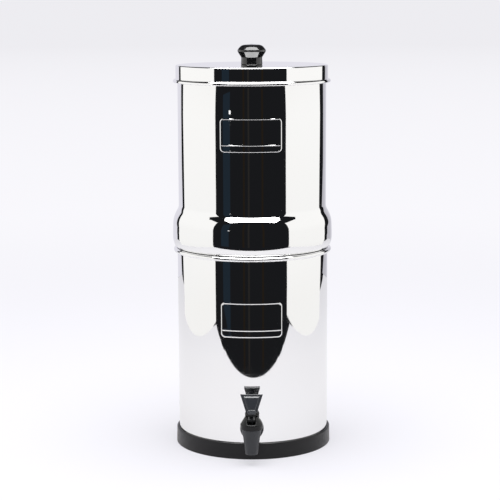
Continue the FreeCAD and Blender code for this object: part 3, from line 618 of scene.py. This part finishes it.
def fused(name, *pieces):
    """Joins closed pieces, which may overlap, into one object."""
    offset, points, faces = 0, [], []
    for piece in pieces:
        mesh = piece.data
        flat = np.empty(len(mesh.vertices) * 3)
        mesh.vertices.foreach_get("co", flat)
        points.append(flat.reshape(-1, 3))
        faces += [[v + offset for v in face.vertices] for face in mesh.polygons]
        offset += len(mesh.vertices)
        bpy.data.objects.remove(piece)
    mesh = bpy.data.meshes.new(name)
    mesh.from_pydata(np.concatenate(points).tolist(), [], faces)
    piece = bpy.data.objects.new(name, mesh)
    scene.collection.objects.link(piece)
    return piece


def softened(piece, voxel, passes):
    """Remakes a solid from cubes of the given size in millimetres and smooths it, so its inner corners fill and
    its edges round off as a moulding's do."""
    remesh = piece.modifiers.new("remesh", "REMESH")
    remesh.mode = "VOXEL"
    remesh.voxel_size = voxel / 1000
    smooth = piece.modifiers.new("smooth", "SMOOTH")
    smooth.factor = 0.5
    smooth.iterations = passes
    applied(piece)
    piece.data.shade_smooth()
    return piece


ROUND = np.linspace(0, 2 * math.pi, 97)[:-1]
barrel = turned("barrel", bent([(0, SPOUT_FOOT), (7.5, SPOUT_FOOT, 0.8), (9.7, 33, 20), (11.9, SKIRT_LOW),
                                (BARREL_RADIUS, SKIRT_LOW), (BARREL_RADIUS, BARREL_TOP), (0, BARREL_TOP)],
                               closed=False), closed=False, angles=ROUND)
shank = turned("shank", bent([(0, 2), (8.6, 2), (8.6, FLANGE_FRONT, 1.5), (FLANGE_RADIUS, FLANGE_FRONT, 1),
                              (FLANGE_RADIUS, FLANGE_BACK, 0.5), (SHANK_RADIUS, FLANGE_BACK),
                              (SHANK_RADIUS, SHANK_END, 0.8), (0, SHANK_END)], closed=False),
               closed=False, angles=ROUND)
tap_body = fused("tap_moulding", barrel, moved(shank, z=TAP_HEIGHT, tip=-90))
softened(tap_body, 0.34, 0)
skirt_room = turned("skirt_room", np.array([(BARREL_RADIUS, SKIRT_LOW), (13.6, SKIRT_LOW), (13.6, 50),
                                            (BARREL_RADIUS, 50)]), angles=ROUND)
room = turned("valve_room", np.array([(0, 12.0), (SPOUT_BORE, 12.0), (SPOUT_BORE, 29.0), (9.0, 31.5), (9.0, 50),
                                      (0, 50)]), closed=False, angles=ROUND)
inlet = moved(rod(INLET_BORE, 5, 46), z=TAP_HEIGHT, tip=-90)
carved(tap_body, skirt_room, room, inlet)
softened(tap_body, 0.34, 4)
moved(tap_body, y=-TAP_REACH)
tap_black = moulded("tap_black", (0.014, 0.0155, 0.019), (0.022, 0.024, 0.029), (0.30, 0.42), 900.0, 0.00003)
dressed(tap_body, "lower", "tap_plastic", tap_black, "tap_body")


# Tap washers and nut: rubber on both faces of the wall, and a plastic hex nut inside. They stay as the CAD has them.

kept(seal_rubber, "tap_outer_washer", "tap_inner_washer")
kept(tap_black, "tap_nut")


# Bonnet: the cap nut screwed on the barrel. Its dished top has a slot in front, where the handle tips.

BONNET_FOOT, BONNET_TOP, BONNET_BORE, STEM_BORE, DISH = 43.7, 58.4, 11.1, 2.7, 50.6
bonnet = turned("bonnet", bent([(BONNET_BORE, BONNET_FOOT), (12.9, BONNET_FOOT, 0.5), (13.2, 49.4, 1.5),
                                (7.6, BONNET_TOP, 0.8), (6.0, BONNET_TOP, 0.4), (8.8, 52.0), (7.8, DISH),
                                (STEM_BORE, DISH), (STEM_BORE, BARREL_TOP), (BONNET_BORE, BARREL_TOP)]),
                angles=ROUND)
slot_block = solid("slot_block", [(x, y, z) for x in (-5.2, 5.2) for y in (-15, 0) for z in (50.7, 60)],
                   [np.array([(0, 1, 3, 2), (4, 6, 7, 5), (0, 4, 5, 1), (2, 3, 7, 6), (0, 2, 6, 4), (1, 5, 7, 3)])])
carved(bonnet, slot_block)
softened(bonnet, 0.26, 3)
moved(bonnet, y=-TAP_REACH)
# The bonnet's black is darker than the tap body's, though it is the same plastic. This is painted shade for its
# dished top and the dark round the handle's neck.
painted_shade_black = moulded("painted_shade_black", (0.003, 0.003, 0.0035), (0.006, 0.006, 0.007), (0.22, 0.30), 900.0, 0.00003,
                       gloss=0.28)
dressed(bonnet, "lower", "tap_plastic", painted_shade_black, "tap_bonnet")


# Handle: a tapered paddle on a neck that ends in a cam, forked round the valve stem's eye. The paddle's front has
# a groove round a pad, and its back is hollowed each side of a rib. Neck and cam wear a darker black than the paddle,
# which is painted shade, and the paddle a lighter black than the tap body, which is painted light: the handle is one
# moulding of one plastic.

PADDLE_LOW, PADDLE_HIGH, LOW_HALF, HIGH_HALF = 6.6, 28.6, 6.3, 13.2
PIN_HEIGHT, NECK_TOP = 55.2, 61.4
PADDLE_THICK, PADDLE_LEAN = 4.2, 15
BAND = 4.3
RIM, GROOVE_DEPTH, RIB_HALF, HOLLOW_DEPTH = 1.4, 0.95, 4.0, 1.5
FORK_HALF = 2.0


def paddle(thickness):
    """The leaning blade as two grids, front and back, whose edges meet. A grid line keeps its distance from the
    edge that it is nearest to, so the rim, the groove and the pad's bevel are all mitred at the corners, and BAND
    is how far in the innermost such line lies. The depth is a function of the lesser of the two distances."""
    steps = np.array([0, 0.12, 0.4, 0.9, 1.4, 1.55, 1.7, 1.85, 2.5, 2.65, 2.9, 3.4, 4.0, BAND])
    length = PADDLE_HIGH - PADDLE_LOW
    along = np.concatenate([steps, np.linspace(BAND, length - BAND, 20)[1:-1], length - steps[::-1]])
    half = LOW_HALF + (HIGH_HALF - LOW_HALF) * along / length
    middle = np.linspace(-1, 1, 17)[1:-1]
    across = np.concatenate([-half[:, None] + steps, (half[:, None] - BAND) * middle, half[:, None] - steps[::-1]],
                            axis=1)
    edge = np.minimum(half[:, None] - np.abs(across), np.minimum(along, length - along)[:, None])
    round_off = 0.4 - np.sqrt(np.maximum(0.16 - np.maximum(0.4 - edge, 0) ** 2, 0))
    groove = np.interp(edge, [1.5, 1.75, 2.6, 4.1], [0, GROOVE_DEPTH, GROOVE_DEPTH, 0.0])
    front = -thickness / 2 + round_off + groove
    up = np.broadcast_to(along[:, None], across.shape)
    side = half[:, None] - RIM - np.abs(across)
    hollow_edge = np.minimum(np.minimum(side, np.abs(across) - RIB_HALF), np.minimum(up - 6.0, length - 4.4 - up))
    back = thickness / 2 - round_off - np.interp(hollow_edge, [-0.15, 0.25], [0, HOLLOW_DEPTH])
    lift = up + PADDLE_LOW
    rows, columns = across.shape
    points = np.concatenate([np.stack([across, front, lift], axis=-1).reshape(-1, 3),
                             np.stack([across, back, lift], axis=-1).reshape(-1, 3)])
    grid = np.arange(rows * columns).reshape(rows, columns)
    other = grid + rows * columns
    loop = np.concatenate([grid[0, :-1], grid[:-1, -1], grid[-1, :0:-1], grid[:0:-1, 0]])
    rim = np.stack([loop, np.roll(loop, -1), np.roll(loop, -1) + rows * columns, loop + rows * columns], axis=-1)
    front_quads, back_quads = (np.stack([g[:-1, :-1], g[:-1, 1:], g[1:, 1:], g[1:, :-1]], axis=-1).reshape(-1, 4)
                               for g in (grid, other))
    return solid("paddle", points, [front_quads, back_quads[:, ::-1], rim[:, ::-1]])


def slab(name, outline, half_width):
    """An outline of (along Y, up) points carried straight across, from one side to the other."""
    count = len(outline)
    points = np.concatenate([np.column_stack([np.full(count, x), outline]) for x in (-half_width, half_width)])
    around = np.arange(count)
    on = (around + 1) % count
    walls = np.stack([around, on, on + count, around + count], axis=-1)
    return solid(name, points, [walls, around[None, ::-1], around[None, :] + count])


cam = slab("cam", bent([(-7.0, -4.2, 4.19), (2.8, -4.2, 2.4), (3.2, 3.0), (4.6, 9.6), (-1.2, 10.6), (-4.8, 3.5, 2),
                        (-7.0, 0)]), 4.3)
blade = moved(paddle(PADDLE_THICK), tip=-PADDLE_LEAN)
handle = fused("tap_lever", cam, blade)
softened(handle, 0.17, 0)
fork = slab("fork", np.array([(-20, -6.2), (20, -6.2), (20, 3.5), (-20, 3.5)], float), FORK_HALF)
carved(handle, fork)
softened(handle, 0.19, 2)
moved(handle, y=-TAP_REACH, z=PIN_HEIGHT)
# The paddle's black is lighter than the tap body's, though it is the same plastic. This is painted light for the
# sheen on the leaning paddle.
painted_light_black = moulded("painted_light_black", (0.026, 0.028, 0.034), (0.038, 0.041, 0.049), (0.20, 0.28), 900.0, 0.00003, 0.8)
dressed(handle, "handle", "tap_plastic", painted_light_black, "tap_handle")
# Faces of the neck and cam, below NECK_TOP, take the darker black: painted shade under the paddle.
handle.data.materials.append(painted_shade_black)
centres = np.empty(len(handle.data.polygons) * 3)
handle.data.polygons.foreach_get("center", centres)
handle.data.polygons.foreach_set("material_index", (centres[2::3] < NECK_TOP / 1000).astype(np.int32))


# Valve: the pin, the stem with its flat eye, the rubber cup on its foot and the closing spring, all inside the tap.
# They stay as the CAD has them.

kept(screw_steel, "handle_pin", "valve_spring")
kept(tap_black, "valve_stem")
kept(seal_rubber, "seat_cup")
